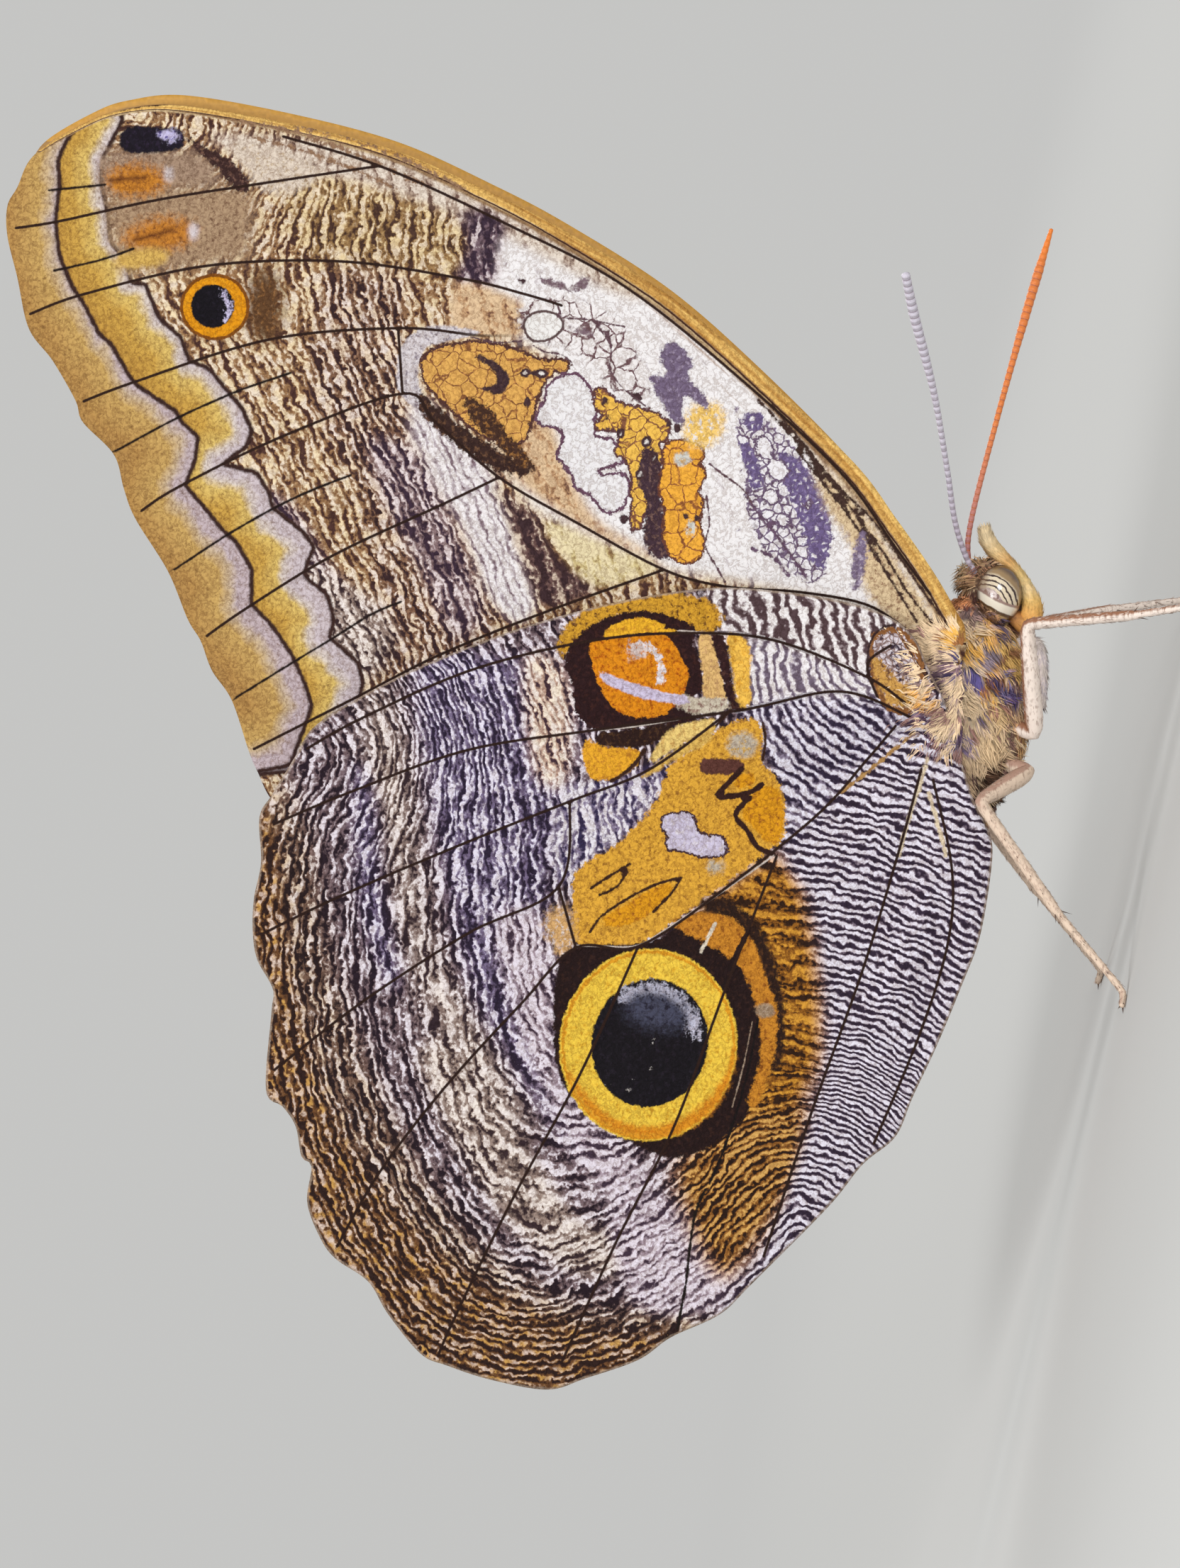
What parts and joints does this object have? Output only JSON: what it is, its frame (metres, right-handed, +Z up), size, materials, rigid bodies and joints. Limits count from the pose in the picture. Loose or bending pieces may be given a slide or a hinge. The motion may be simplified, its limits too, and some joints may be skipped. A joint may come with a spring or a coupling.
{
  "type": "owl butterfly",
  "caption": "Owl butterfly standing at rest with closed wings, veined wing plates, slender legs and feelers, as a still life-size display model.",
  "frame": {"origin": "on the floor under the middle of the insect's box", "axes": "+X towards the head, +Z up, right side at -Y"},
  "size_m": [0.0887, 0.0282, 0.0885],
  "materials": {
    "wing": "fine scales in brown, ochre, white and black ripples with eyespots, faint satin sheen",
    "fur": "short soft hair in cream, brown and violet grey",
    "eye": "glossy facets, dark brown with paler arched bands",
    "feeler": "ringed horn, pale lilac to orange, satin",
    "leg": "scaled, pinkish brown with cream underside"
  },
  "bodies": {
    "root": {"thorax": "fur", "abdomen": "fur", "head": "fur", "palp_right": "fur", "palp_left": "fur", "eye_right": "eye", "eye_left": "eye", "antenna_right": "feeler", "antenna_left": "feeler", "proboscis": "feeler", "forewing_right": "wing", "forewing_left": "wing", "hindwing_right": "wing", "hindwing_left": "wing", "foreleg_right": "leg", "foreleg_left": "leg", "midleg_right": "leg", "midleg_left": "leg", "hindleg_right": "leg", "hindleg_left": "leg"}
  },
  "joints": []
}
